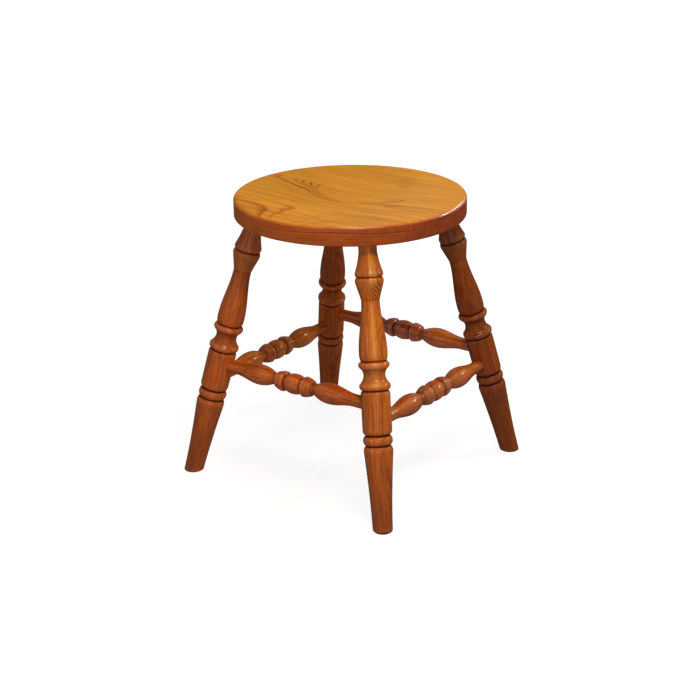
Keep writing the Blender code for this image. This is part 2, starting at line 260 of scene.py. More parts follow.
@dataclass
class Profile:
    """A turned outline: distance along the axis and radius there, in metres."""

    distance: Array
    radius: Array

    @classmethod
    def from_cuts(cls, start_mm: float, radius_mm: float, cuts: list[Cut]) -> "Profile":
        """Follows the cuts from a start point.

        Args:
            start_mm: distance along the axis where the first cut starts.
            radius_mm: radius there.
            cuts: the cuts in order.

        Returns:
            The outline, sharp where two cuts meet.
        """
        distances = [np.array([start_mm])]
        radii = [np.array([radius_mm])]
        for cut in cuts:
            count = max(LEAST_STEPS, math.ceil(cut.length_mm / STEP_MM))
            share = np.linspace(0, 1, count + 1)[1:]
            from_mm, from_radius = distances[-1][-1], radii[-1][-1]
            distances.append(from_mm + cut.length_mm * share)
            radii.append(from_radius + (cut.radius_mm - from_radius) * cut.shape(share))
        return cls(np.concatenate(distances) * MM, np.concatenate(radii) * MM)

    def softened(self, width_mm: float = SANDED_MM) -> "Profile":
        """Rounds the sharp places: a bell-shaped average along the axis.

        Args:
            width_mm: how far along the axis the average reaches to each side.

        Returns:
            The softened outline with the same ends.
        """
        even = np.arange(self.distance[0], self.distance[-1], EVEN_MM * MM)
        level = np.interp(even, self.distance, self.radius)
        reach = max(1, round(width_mm / EVEN_MM))
        weight = bell(np.arange(-2 * reach, 2 * reach + 1) / reach)
        padded = np.pad(level, 2 * reach, mode="edge")
        soft = np.convolve(padded, weight / weight.sum(), mode="valid")
        return Profile(self.distance, np.interp(self.distance, even, soft))

    def hollows(self, width_mm: float = 3.6, full_mm: float = 1.6) -> Array:
        """How deep each place lies under its neighbourhood, over the full depth: below 0 on a crest."""
        return (self.softened(width_mm).radius - self.radius) / (full_mm * MM)

    def crests(self, width_mm: float = 7.0, full_mm: float = 2.5) -> Array:
        """How far a place stands out, from 0 to 1 on a bead: hollows turned round, on a wider stretch."""
        return np.clip(-self.hollows(width_mm, full_mm), 0, 1)


@dataclass(frozen=True)
class Axis:
    """A line in space with two directions square to it: where a turned piece lies."""

    origin: Array
    along: Array
    side: Array

    @property
    def third(self) -> Array:
        """The direction square to the other two."""
        return np.cross(self.along, self.side)

    def place(self, sideways: Array, crossways: Array, distance: Array) -> Array:
        """Turns coordinates on this axis into points in space, as an array of rows."""
        spread = sideways[..., None] * self.side + crossways[..., None] * self.third
        return self.origin + spread + distance[..., None] * self.along

    def read(self, points: Array) -> Array:
        """The reverse of place: rows of (sideways, crossways, distance)."""
        return (points - self.origin) @ np.stack([self.side, self.third, self.along], axis=1)


def smooth_mesh(mesh: Mesh, skin: Skin) -> Mesh:
    """Fills a mesh from a skin whose faces it turns outwards, smooth but for the sharp edges.

    Args:
        mesh: the mesh to fill.
        skin: the skin, which is used up.

    Returns:
        The same mesh.
    """
    bmesh.ops.recalc_face_normals(skin, faces=skin.faces)
    skin.to_mesh(mesh)
    skin.free()
    mesh.shade_smooth()
    mesh.set_sharp_from_angle(angle=math.radians(SHARP_DEG))
    return mesh


def closed_mesh(name: str, rings: Array, first_pole: Array, last_pole: Array) -> Mesh:
    """Closes a stack of rings into one skin: quads between rings and a fan of triangles at each end.

    Args:
        name: the mesh's name.
        rings: points as (ring, place round the ring, xyz).
        first_pole: the point that closes the first ring.
        last_pole: the point that closes the last ring.

    Returns:
        The new mesh.
    """
    count, sides = rings.shape[:2]
    number = np.arange(count * sides).reshape(count, sides)
    after = np.roll(number, -1, axis=1)
    quads = np.stack([number[:-1], number[1:], after[1:], after[:-1]], axis=-1).reshape(-1, 4)
    first = np.full(sides, count * sides)
    start_fan = np.stack([first, number[0], after[0]], axis=-1)
    end_fan = np.stack([first + 1, after[-1], number[-1]], axis=-1)
    points = np.concatenate([rings.reshape(-1, 3), first_pole[None], last_pole[None]])
    mesh = bpy.data.meshes.new(name)
    mesh.from_pydata(points.tolist(), [], quads.tolist() + start_fan.tolist() + end_fan.tolist())
    skin = bmesh.new()
    skin.from_mesh(mesh)
    return smooth_mesh(mesh, skin)


def turned_mesh(name: str, profile: Profile, axis: Axis, sides: int, slant: Array | float = 0.0) -> Mesh:
    """Turns an outline round an axis: a point is the axis point at its distance plus the radius turned.

    Args:
        name: the mesh's name.
        profile: the outline.
        axis: the axis.
        sides: how many points go round.
        slant: how much the distance grows with the sideways offset, for each place of the outline.

    Returns:
        The new mesh, closed at both ends.
    """
    turn = full_turn(sides)
    sideways = profile.radius[:, None] * np.cos(turn)
    crossways = profile.radius[:, None] * np.sin(turn)
    slants = np.broadcast_to(slant, profile.distance.shape)[:, None]
    rings = axis.place(sideways, crossways, profile.distance[:, None] + slants * sideways)
    poles = [axis.origin + axis.along * profile.distance[end] for end in (0, -1)]
    return closed_mesh(name, rings, *poles)


def vector_rows(items: bpy.types.bpy_prop_collection, name: str) -> Array:
    """Reads one vector of each item in a mesh's list.

    Args:
        items: the mesh's list.
        name: the vector's name there.

    Returns:
        The vectors as rows.
    """
    flat = np.empty(len(items) * 3, np.float32)
    items.foreach_get(name, flat)
    return flat.reshape(-1, 3).astype(float)


def mesh_points(mesh: Mesh) -> Array:
    """The mesh's points as rows."""
    return vector_rows(mesh.vertices, "co")


def mesh_normals(mesh: Mesh) -> Array:
    """The mesh's point normals as rows."""
    return vector_rows(mesh.vertex_normals, "vector")


def note_grain(mesh: Mesh, *coordinates: Array) -> None:
    """Stores the grain coordinates of each point: two across the grain and one along it, in mm."""
    layer = mesh.attributes.new("grain", "FLOAT_VECTOR", "POINT")
    layer.data.foreach_set("vector", np.stack(coordinates, axis=1).astype(np.float32).ravel())


def note(mesh: Mesh, **numbers: Array | float) -> None:
    """Stores numbers for each point.

    Args:
        mesh: the piece.
        numbers: attribute name to one number for each point, or to one for all.
    """
    for name, values in numbers.items():
        layer = mesh.attributes.new(name, "FLOAT", "POINT")
        layer.data.foreach_set("value", np.broadcast_to(values, len(mesh.vertices)).astype(np.float32))


def show(name: str, mesh: Mesh, material: Material, node: str) -> None:
    """Puts a finished mesh into the scene as the piece that stands for a CAD node.

    Args:
        name: the piece's name.
        mesh: its mesh, already in place.
        material: its finish.
        node: the CAD node that it replaces.
    """
    piece = put(name, mesh)
    mesh.materials.append(material)
    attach(piece, BODY)
    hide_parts(node)
    LOG.info("%s: %d faces", name, len(mesh.polygons))


class Sawn(Enum):
    """How a blank was sawn from its log: the pith's distance in mm and its direction in degrees."""

    FLAT = (70.0, 90.0)
    RIFT = (110.0, 40.0)
    QUARTER = (140.0, 8.0)


@dataclass(frozen=True)
class FlameAndPaintedLight:
    """A pale streak on one side of a turned piece, partly the wood's figure and partly painted light and
    highlight: its strength, side, half width and stretch.
    """

    strength: float
    side_deg: float
    half_deg: float
    start_mm: float
    end_mm: float
    fade_mm: float = 14.0

    def level(self, turn_deg: Array, along_mm: Array) -> Array:
        """A bell curve round the axis, faded in and out along it.

        Args:
            turn_deg: each point's direction round the axis.
            along_mm: each point's place along the axis.

        Returns:
            The streak's level at each point.
        """
        fade_in = fade(along_mm, self.start_mm, self.start_mm + self.fade_mm)
        fade_out = fade(along_mm, self.end_mm, self.end_mm - self.fade_mm)
        return self.strength * bell(off_side(turn_deg, self.side_deg) / self.half_deg) * fade_in * fade_out


@dataclass(frozen=True)
class Flecks:
    """Short dark dashes where a slope cuts the rings: their strength, middle, reach and step on a slant."""

    strength: float = 0.0
    side_deg: float = 0.0
    middle_mm: float = 0.0
    reach_deg: float = 17.0
    reach_mm: float = 8.0
    step_deg: float = 26.0
    step_mm: float = 6.2

    def level(self, turn_deg: Array, along_mm: Array) -> Array:
        """The upper halves of a wave on a slant, under a bell curve round the middle.

        Args:
            turn_deg: each point's direction round the axis.
            along_mm: each point's place along the axis.

        Returns:
            The dashes' level at each point.
        """
        off = off_side(turn_deg, self.side_deg)
        far = along_mm - self.middle_mm
        wave = np.cos(2 * np.pi * (off / self.step_deg + far / self.step_mm))
        away = np.hypot(off / self.reach_deg, far / self.reach_mm)
        return self.strength * bell(away) * np.maximum(wave, 0)


@dataclass(frozen=True)
class Timber:
    """The choice of one blank: how it was sawn and turned, its stretch of the log, its tone and its stain.

    Painted shade of the seat lowers the tone on the top of the piece: it holds before one place along the
    axis and is gone at a second.
    """

    sawn: Sawn
    turn_deg: float = 0.0
    start_mm: float = 0.0
    tone: float = 1.0
    stain: float = 1.0
    gloss: float = 1.0
    bold: float = 1.0
    ring_mm: float = 3.3
    drift: Pair = (0.018, 0.008)
    deepening: float = 0.2
    deep_mm: Pair | None = None
    seat_shade_tone: float = 1.0
    seat_shade_mm: Pair = (150.0, 215.0)
    # Pale streaks: figure, and painted light and highlight on the lit side of the piece.
    flames_and_painted_light: tuple[FlameAndPaintedLight, ...] = ()
    flecks: Flecks = Flecks()

    def mark(self, mesh: Mesh, axis: Axis) -> None:
        """Stores the grain, the year rings, the tone and the stain of a piece cut from this timber.

        The pith is the line where the two coordinates across the grain are zero. It lies at the sawn
        distance from the piece and drifts a little sideways along it, as in a tree that tapers. The
        year is the distance from the pith over the ring width. Between two places along the axis, if
        they are given, the tone falls and the stain rises.

        Args:
            mesh: the piece.
            axis: its long axis.
        """
        sideways, crossways, along = (axis.read(mesh_points(mesh)) / MM).T
        away, direction = self.sawn.value
        angle = math.radians(direction + self.turn_deg)
        first = sideways + away * math.cos(angle) + self.drift[0] * along
        second = crossways + away * math.sin(angle) + self.drift[1] * along
        turn_deg = np.degrees(np.arctan2(crossways, sideways))
        deep = fade(along, *self.deep_mm) if self.deep_mm else 0.0
        # Painted shade: the seat's shadow on the top of the piece, as a lower tone.
        top = self.seat_shade_tone + (1 - self.seat_shade_tone) * fade(along, *self.seat_shade_mm)
        note_grain(mesh, first, second, along + self.start_mm)
        note(
            mesh,
            year=np.hypot(first, second) / self.ring_mm,
            bold=self.bold,
            tone=self.tone * top * (1 - self.deepening * deep),
            stain=self.stain + (1 - self.stain) * deep,
            # Pale streaks: the wood's figure and painted light and highlight.
            pale=sum(pale_streak.level(turn_deg, along) for pale_streak in self.flames_and_painted_light),
        )

    def dress(self, mesh: Mesh, axis: Axis, profile: Profile) -> None:
        """Marks a turned piece, darkens its hollows and flecks, and leaves more gloss on its crests. The
        dark hollows are stain that gathers there and painted shade.

        Args:
            mesh: the piece.
            axis: its long axis.
            profile: its outline.
        """
        self.mark(mesh, axis)
        sideways, crossways, along = axis.read(mesh_points(mesh)).T
        fleck = self.flecks.level(np.degrees(np.arctan2(crossways, sideways)), along / MM)
        hollow = np.interp(along, profile.distance, profile.hollows())
        crest = np.interp(along, profile.distance, profile.crests())
        polish = self.gloss * (TURNED_POLISH + CREST_POLISH * crest)
        note(mesh, hollow=np.clip(hollow + fleck, 0, 1), polish=polish)


@dataclass(frozen=True)
class Spot:
    """A place on the seat's plan that fades as a bell curve: its strength, and middle and reach in mm."""

    strength: float = 0.0
    middle: Pair = (0.0, 0.0)
    reach: Pair = (45.0, 45.0)

    def level(self, x: Array, y: Array) -> Array:
        """The spot's level at each point."""
        away = np.hypot((x - self.middle[0]) / self.reach[0], (y - self.middle[1]) / self.reach[1])
        return self.strength * bell(away)


def spots_level(spots: tuple[Spot, ...], x: Array, y: Array) -> Array:
    """The sum of some spots' levels at each point, where there may be no spots."""
    return sum((spot.level(x, y) for spot in spots), np.zeros_like(x))


@dataclass(frozen=True)
class Loops:
    """Nested rings on the seat's plan: how many, their middle, one's half size, and how close they lie.

    Beyond one place on Y they are drawn out: only a share of the way counts there.
    """

    rings: float = 0.0
    middle: Pair = (0.0, 0.0)
    half_width: float = 50.0
    half_length: float = 100.0
    closeness: float = 0.1
    drawn_from: float = 90.0
    drawn_share: float = 0.2

    def level(self, x: Array, y: Array) -> Array:
        """An S-curve of the distance from the middle as a share of the half size.

        Args:
            x: the points' X in mm.
            y: the points' Y in mm.

        Returns:
            The rings passed at each point.
        """
        length = y - (1 - self.drawn_share) * np.maximum(y - self.drawn_from, 0)
        across = (x - self.middle[0]) / self.half_width
        share = np.hypot(across, (length - self.middle[1]) / self.half_length)
        return self.rings / (1 + np.exp((1 - share) / self.closeness))


@dataclass(frozen=True)
class BoardFigure:
    """The year rings on one seat board: even rings across it, loops and a dip, and where they show most.

    The years before the first one keep all numbers above nought.
    """

    across_mm: float
    first_year: float = 0.1
    loops: Loops = Loops()
    dip: Spot = Spot()
    plain: float = 0.35
    bold: tuple[Spot, ...] = ()
    shades: tuple[Spot, ...] = ()
    # Painted light: at one end of the upright side, and a pale patch on the top.
    side_pale: Spot = Spot()
    pale: Spot = Spot()
    start_mm: float = 0.0
    tone: float = 0.9
    # Scales the edge's tint, which is partly stain and partly painted shade.
    side_stain: float = 1.0
    layer_mm: float = 4.2
    side_bold: float = 0.5
    side_share: float = 0.4
    side_mm: float = 1.0
    depth_stretch: float = 2.0
    years_before: float = 60.0

    def mark(self, mesh: Mesh, below: Array, radius: float) -> None:
        """Stores the grain, the year rings, their boldness and the tone of a board.

        On the top the year is the sum of even rings across the board, the loops and the dip. On the
        upright side a share of that counts, with the layers passed down from the dished top. Rings
        are bolder in some spots, and the tone falls in others and rises at one end of the side, where light
        is painted. A pale patch of painted light may lie on the top.

        Args:
            mesh: the board.
            below: each point's depth under the dished top in metres.
            radius: the seat's radius.
        """
        x, y, _ = (mesh_points(mesh) / MM).T
        depth = below / MM
        upright = np.hypot(x, y) > radius / MM - self.side_mm
        on_top = self.first_year - x / self.across_mm + self.loops.level(x, y) + self.dip.level(x, y)
        passed = np.where(upright, self.side_share, 1) * on_top + depth / self.layer_mm
        # Painted light raises the tone at one end of the upright side.
        tone = np.where(upright, self.side_pale.level(x, y), -spots_level(self.shades, x, y))
        note_grain(mesh, x, depth * self.depth_stretch, y + self.start_mm)
        note(
            mesh,
            year=passed + self.years_before,
            bold=np.where(upright, self.side_bold, self.plain + spots_level(self.bold, x, y)),
            tone=self.tone + tone,
            # A pale patch of painted light on the top.
            pale=np.where(upright, 0, self.pale.level(x, y)),
        )


@dataclass(frozen=True)
class Noise:
    """Noise drawn out along the grain: a spot's size, its finer layers, and the span of its smooth step."""

    across_mm: float
    along_mm: float
    detail: float
    span: Pair = (0.0, 1.0)
    roughness: float = 0.6

    def level(self, tree: Tree, grain: Socket) -> Socket:
        """Adds the noise.

        Args:
            tree: the material's nodes.
            grain: the grain coordinates.

        Returns:
            The noise, about 0.5 on average.
        """
        scale = (1 / self.across_mm, 1 / self.across_mm, 1 / self.along_mm)
        scaled = add(tree, "ShaderNodeMapping", {"Vector": grain, "Scale": scale}).outputs["Vector"]
        feeds = {"Vector": scaled, "Scale": 1.0, "Detail": self.detail, "Roughness": self.roughness}
        return add(tree, "ShaderNodeTexNoise", feeds).outputs["Fac"]

    def step(self, tree: Tree, grain: Socket, low: float = 0.0, high: float = 1.0) -> Socket:
        """Adds a smooth step of the noise, from low at the span's start to high at its end."""
        return ramp(tree, self.level(tree, grain), self.span, low, high)


@dataclass(frozen=True)
class StainedWood:
    """Open-grained hardwood, stained and varnished.

    Each year's ring starts with open-pored early wood, which drinks stain and goes dark, and ends
    in dense late wood, which stays light. Fine pores show as dark dashes along the grain, and the
    varnish over it all gives a soft gloss.
    """

    name: str
    late_hex: str
    early_hex: str
    streak_hex: str
    pore_hex: str
    # The pale colour is laid for pale figure and for painted light and highlight.
    pale_and_painted_light_hex: str = "#F0B450"
    # Hollows: stain that gathers there and painted shade.
    recess_tint: str = "#8E6A58"
    # Tint of the stain, which also carries painted shade on the seat's edge and on a stretcher's end.
    stain_tint: str = WHITE
    end_tint: str = "#D2C6C0"
    slow_bend: Noise = Noise(40.0, 300.0, 1.0)
    quick_bend: Noise = Noise(7.0, 90.0, 2.0)
    fine_pores: Noise = Noise(0.8, 16.0, 2.0, (0.52, 0.68))
    coarse_pores: Noise = Noise(2.0, 26.0, 2.0, (0.54, 0.72))
    streaks: Noise = Noise(2.6, 70.0, 3.0, (0.36, 0.68))
    blotches: Noise = Noise(34.0, 120.0, 2.0, (0.28, 0.72))
    blotch: Pair = (0.84, 1.14)
    wander_rings: float = 0.9
    flutter_rings: float = 0.35
    uneven_rings: float = 2.2
    uneven_scale: float = 0.4
    onset: float = 0.12
    early_end: float = 0.6
    weak_ring: float = 0.2
    least_chance: float = 0.1
    early_strength: float = 0.55
    streak_strength: float = 0.7
    pale_and_painted_light_strength: float = 0.85
    pore_strength: float = 0.6
    pore_crowd: float = 0.6
    pore_roughness: float = 0.12
    roughness: float = 0.5
    relief: float = 0.15
    relief_mm: float = 0.1
    coat_roughness: float = 0.18
    coat_ior: float = 3.0

    def material(self) -> Material:
        """Builds the material from the attributes that a piece carries.

        Returns:
            The finished material.
        """
        material = bpy.data.materials.new(self.name)
        tree = emptied(material)
        grain = add(tree, "ShaderNodeAttribute", attribute_name="grain").outputs["Vector"]
        early = self.early_wood(tree, grain)
        pore = self.pores(tree, grain, early)
        bump = add(tree, "ShaderNodeBump", {
            "Strength": self.relief,
            "Distance": self.relief_mm * MM,
            "Height": calculate(tree, "ADD", pore, early),
        }, invert=True)
        shader = add(tree, "ShaderNodeBsdfPrincipled", {
            "Base Color": self.colour(tree, grain, early, pore),
            "Roughness": calculate(tree, "MULTIPLY_ADD", pore, self.pore_roughness, self.roughness),
            "Specular IOR Level": 0.0,
            "Coat Weight": attribute(tree, "polish"),
            "Coat Roughness": self.coat_roughness,
            "Coat IOR": self.coat_ior,
            "Normal": bump.outputs["Normal"],
        })
        add(tree, "ShaderNodeOutputMaterial", {"Surface": shader.outputs["BSDF"]})
        return material

    def early_wood(self, tree: Tree, grain: Socket) -> Socket:
        """Early wood from the year number, bent by slow and quick noise.

        Within each year it starts sharply and fades, and each year has its own strength.

        Args:
            tree: the material's nodes.
            grain: the grain coordinates.

        Returns:
            Early wood, from 0 to 1.
        """
        year = attribute(tree, "year")
        for noise, rings in ((self.slow_bend, self.wander_rings), (self.quick_bend, self.flutter_rings)):
            year = calculate(tree, "MULTIPLY_ADD", noise.level(tree, grain), 2 * rings, year)
        feeds = {"W": year, "Scale": self.uneven_scale, "Detail": 1.0}
        uneven = add(tree, "ShaderNodeTexNoise", feeds, noise_dimensions="1D").outputs["Fac"]
        year = calculate(tree, "MULTIPLY_ADD", uneven, self.uneven_rings, year)
        season = calculate(tree, "FRACT", year)
        number = calculate(tree, "FLOOR", year)
        chance = add(tree, "ShaderNodeTexWhiteNoise", {"W": number}, noise_dimensions="1D")
        early = ramp(tree, season, (0.0, self.onset))
        decline = ramp(tree, season, (self.onset, self.early_end), 1.0, 0.0)
        strength = ramp(tree, chance.outputs["Value"], (self.least_chance, 1.0), self.weak_ring, 1.0)
        for factor in (decline, strength, attribute(tree, "bold")):
            early = calculate(tree, "MULTIPLY", early, factor)
        return early

    def pores(self, tree: Tree, grain: Socket, early: Socket) -> Socket:
        """Dark dashes along the grain, finer and coarser, crowded in the early wood.

        Args:
            tree: the material's nodes.
            grain: the grain coordinates.
            early: early wood.

        Returns:
            Pores, from 0 to 1.
        """
        fine, coarse = (noise.step(tree, grain) for noise in (self.fine_pores, self.coarse_pores))
        both = calculate(tree, "MAXIMUM", fine, coarse)
        crowd = calculate(tree, "MULTIPLY_ADD", early, self.pore_crowd, 1 - self.pore_crowd)
        return calculate(tree, "MULTIPLY", both, crowd)

    def colour(self, tree: Tree, grain: Socket, early: Socket, pore: Socket) -> Socket:
        """Lays the stain: late wood, streaks, early wood, pale streaks of figure and painted light, and
        pores, then the tints over them.

        Args:
            tree: the material's nodes.
            grain: the grain coordinates.
            early: early wood.
            pore: pores.

        Returns:
            The colour.
        """
        colour: Any = linear(self.late_hex)
        for mask, strength, hex_colour in (
            (self.streaks.step(tree, grain), self.streak_strength, self.streak_hex),
            (early, self.early_strength, self.early_hex),
            # Pale streaks and patches: figure and painted light.
            (attribute(tree, "pale"), self.pale_and_painted_light_strength, self.pale_and_painted_light_hex),
            (pore, self.pore_strength, self.pore_hex),
        ):
            share = calculate(tree, "MULTIPLY", mask, strength, use_clamp=True)
            colour = lay(tree, share, colour, hex_colour)
        blotch = self.blotches.step(tree, grain, *self.blotch)
        depth = calculate(tree, "MULTIPLY", blotch, attribute(tree, "tone"))
        feeds = {"Vector": colour, "Scale": depth}
        colour = add(tree, "ShaderNodeVectorMath", feeds, operation="SCALE").outputs["Vector"]
        # The hollow tint is gathered stain and painted shade.
        tints = {"hollow": self.recess_tint, "stain": self.stain_tint, "end": self.end_tint}
        for name, tint in tints.items():
            colour = lay(tree, attribute(tree, name), colour, tint, "MULTIPLY")
        return colour


# Red-brown stained ash, turned on a lathe and varnished: dark early wood, amber late wood.
TURNED_ASH = StainedWood(
    name="turned_ash_red_brown_stain",
    late_hex="#DC821E", early_hex="#8E3A0A", streak_hex="#AE5210", pore_hex="#581E06", stain_tint="#FADADE",
    flutter_rings=0.6, early_end=0.75, early_strength=0.75, pore_strength=0.8,
)

# Golden stained ash boards, sanded flat and dished: broad figure, and edges redder and darker, partly by
# the stain and partly as painted shade on the faces that lean from the top.
SEAT_ASH = StainedWood(
    name="sanded_ash_golden_stain",
    late_hex="#D4932E", early_hex="#A04E0E", streak_hex="#C07824", pore_hex="#96561A", stain_tint="#E8AAF4",
    streaks=Noise(9.0, 260.0, 3.0, (0.36, 0.68)), blotch=(0.91, 1.09),
    wander_rings=0.4, flutter_rings=0.1, uneven_rings=0.8, early_end=0.55, weak_ring=0.6,
    early_strength=0.8, streak_strength=0.85, pore_strength=0.4, relief=0.1, coat_roughness=0.15,
)

# Bare beech, turned as dowel rod, and bare split oak: pale and dull, and hidden in the joints.
DOWEL_BEECH = StainedWood(
    name="bare_beech_rod",
    late_hex="#D8B78A", early_hex="#BE966A", streak_hex="#C9A478", pore_hex="#9A7248", roughness=0.6,
)
WEDGE_OAK = StainedWood(
    name="bare_split_oak",
    late_hex="#C9A36A", early_hex="#97703E", streak_hex="#B08A54", pore_hex="#6E4C26", roughness=0.65,
)


@dataclass
class Measures:
    """The stool's main places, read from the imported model."""

    seat_top: float
    underside: float
    seat_radius: float
    plan_angle: float
    foot_reach: float
    leg_inset: float = 33.8 * MM

    @classmethod
    def from_frame(cls) -> "Measures":
        """Reads the seat's box and one foot's mount.

        Returns:
            The places found there.
        """
        low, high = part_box("seat_board_2")
        mounts = {mount["name"]: mount["pos_m"] for mount in frame["record"]["mounts"]}
        x, y, _ = mounts["foot_back_right"]
        return cls(high[2], low[2], high[1], math.atan2(y, x), math.hypot(x, y))

    @property
    def top_reach(self) -> float:
        """How far out the legs enter the seat's underside."""
        return self.seat_radius - self.leg_inset

    @property
    def splay(self) -> float:
        """The legs' lean from upright, in radians."""
        return math.atan2(self.foot_reach - self.top_reach, self.underside)

    @property
    def leg_length(self) -> float:
        """From the seat's underside to the floor along a leg."""
        return self.underside / math.cos(self.splay)


@dataclass
class Legs:
    """Four splayed turned legs with their tenons."""

    measures: Measures
    sides: int = 72
    tenon_mm: float = 21.7
    neck_mm: float = 14.0
    belly_mm: float = 21.7
    vase_share: float = 0.394
    foot_mm: float = 15.5
    foot_ease_mm: float = 3.0
    foot_slant_mm: float = 28.0
    deep_share: float = 0.5
    end_power: int = 6
    # Seat shade tones below 1 are painted shade of the seat on the legs' tops.
    timber: dict[str, Timber] = field(default_factory=lambda: {
        "front_left": Timber(
            Sawn.FLAT, turn_deg=215.0, start_mm=40.0, tone=0.95, stain=0.45, gloss=0.72,
            deepening=0.27, seat_shade_tone=0.93,
            # Pale streaks down the lit front: flame figure and painted highlight.
            flames_and_painted_light=(
                FlameAndPaintedLight(1.0, 3.0, 4.5, 4.0, 74.0), FlameAndPaintedLight(0.85, -14.0, 5.0, 16.0, 72.0),
                FlameAndPaintedLight(0.8, 4.0, 7.0, 88.0, 186.0), FlameAndPaintedLight(0.4, 6.0, 18.0, 182.0, 224.0, 5.0)),
            flecks=Flecks(1.6, -27.0, 78.0)),
        "front_right": Timber(
            # The low tone is partly painted shade on this leg and partly darker wood.
            Sawn.RIFT, turn_deg=60.0, start_mm=900.0, tone=0.515, gloss=0.5, bold=0.75, seat_shade_tone=0.76,
            # A broad pale streak on the lit right side: painted light.
            flames_and_painted_light=(FlameAndPaintedLight(0.22, 90.0, 60.0, -20.0, 105.0), FlameAndPaintedLight(0.4, 62.0, 9.0, 0.0, 60.0))),
        "back_right": Timber(
            Sawn.FLAT, turn_deg=250.0, start_mm=1700.0, tone=0.93, gloss=0.45, seat_shade_tone=0.74),
        "back_left": Timber(
            Sawn.RIFT, turn_deg=200.0, start_mm=2600.0, tone=0.91, gloss=0.72, bold=0.6, deepening=0.27,
            # A broad pale streak on the lit left side: painted light.
            flames_and_painted_light=(FlameAndPaintedLight(0.2, -83.0, 60.0, -20.0, 95.0),))})

    def cuts(self) -> list[Cut]:
        """The cuts from the seat down to the foot: the vase and the taper share what the others leave.

        Returns:
            The cuts in order.
        """
        above = cut_rows(
            (16, self.neck_mm, straight), (33.5, 21.6, sweep), (6, 18.5, round_over), (6, 21.9, round_up),
            (27.4, 14.5, cup_side), (0.6, 13.5, straight), (0.5, 14.1, straight))
        under = cut_rows(
            (11.5, 19, round_over), (5.75, 23.8, hollow_in), (5.75, 21, hollow_out), (0.5, 20, straight),
            (9.25, 16.6, hollow_in), (13.25, 22.2, hollow_out), (3.4, 23.9, round_up),
            (6.9, 18.4, round_over), (5.5, 22.5, round_up), (55.2, 22.5, straight), (7.5, 16.6, round_over),
            (7.9, 22.6, round_up), (7.9, 17.2, round_over), (8.7, 22.5, round_up))
        free_mm = self.measures.leg_length / MM - sum(cut.length_mm for cut in above + under)
        vase_mm = free_mm * self.vase_share
        taper_mm = free_mm - vase_mm - self.foot_ease_mm
        foot = cut_rows(
            (taper_mm, self.foot_mm, settle),
            (self.foot_ease_mm, self.foot_mm - self.foot_ease_mm, round_over))
        return above + [Cut(vase_mm, self.belly_mm, ease)] + under + foot

    def profile(self) -> Profile:
        """The whole turned outline, tenon first."""
        tenon = Cut(self.tenon_mm, self.neck_mm, straight)
        return Profile.from_cuts(-self.tenon_mm, self.neck_mm, [tenon] + self.cuts()).softened()

    def axis(self, corner: str) -> Axis:
        """A leg's axis, from the seat's underside down and out to the floor.

        Args:
            corner: the leg's corner.

        Returns:
            The axis, with its side facing outwards.
        """
        side_x = -1 if "left" in corner else 1
        side_y = -1 if "front" in corner else 1
        plan, lean = self.measures.plan_angle, self.measures.splay
        angle = math.atan2(side_y * math.sin(plan), side_x * math.cos(plan))
        outward = math.cos(angle) * X + math.sin(angle) * Y
        origin = outward * self.measures.top_reach + Z * self.measures.underside
        along = outward * math.sin(lean) - Z * math.cos(lean)
        return Axis(origin, along, outward * math.cos(lean) + Z * math.sin(lean))

    def build(self) -> None:
        """Builds and dresses the legs.

        Near the floor the distance grows with the sideways offset times the lean's slope, so that the
        foot lies level.
        """
        material = TURNED_ASH.material()
        profile = self.profile()
        ease_start = self.measures.leg_length - self.foot_ease_mm * MM
        slant = np.clip((profile.distance - ease_start) / (self.foot_slant_mm * MM) + 1, 0, 1)
        for corner in self.timber:
            name = "turned_leg_" + corner
            axis = self.axis(corner)
            mesh = turned_mesh(name, profile, axis, self.sides, slant * math.tan(self.measures.splay))
            self.dress(mesh, axis, profile, corner)
            show(name, mesh, material, "leg_" + corner)

    def dress(self, mesh: Mesh, axis: Axis, profile: Profile, corner: str) -> None:
        """Dresses a leg, deeper towards its foot, and stores its end grain.

        Args:
            mesh: the leg.
            axis: its axis.
            profile: its outline.
            corner: its corner.
        """
        length_mm = self.measures.leg_length / MM
        timber = replace(self.timber[corner], deep_mm=(self.deep_share * length_mm, length_mm))
        timber.dress(mesh, axis, profile)
        note(mesh, end=np.abs(mesh_normals(mesh) @ axis.along) ** self.end_power)


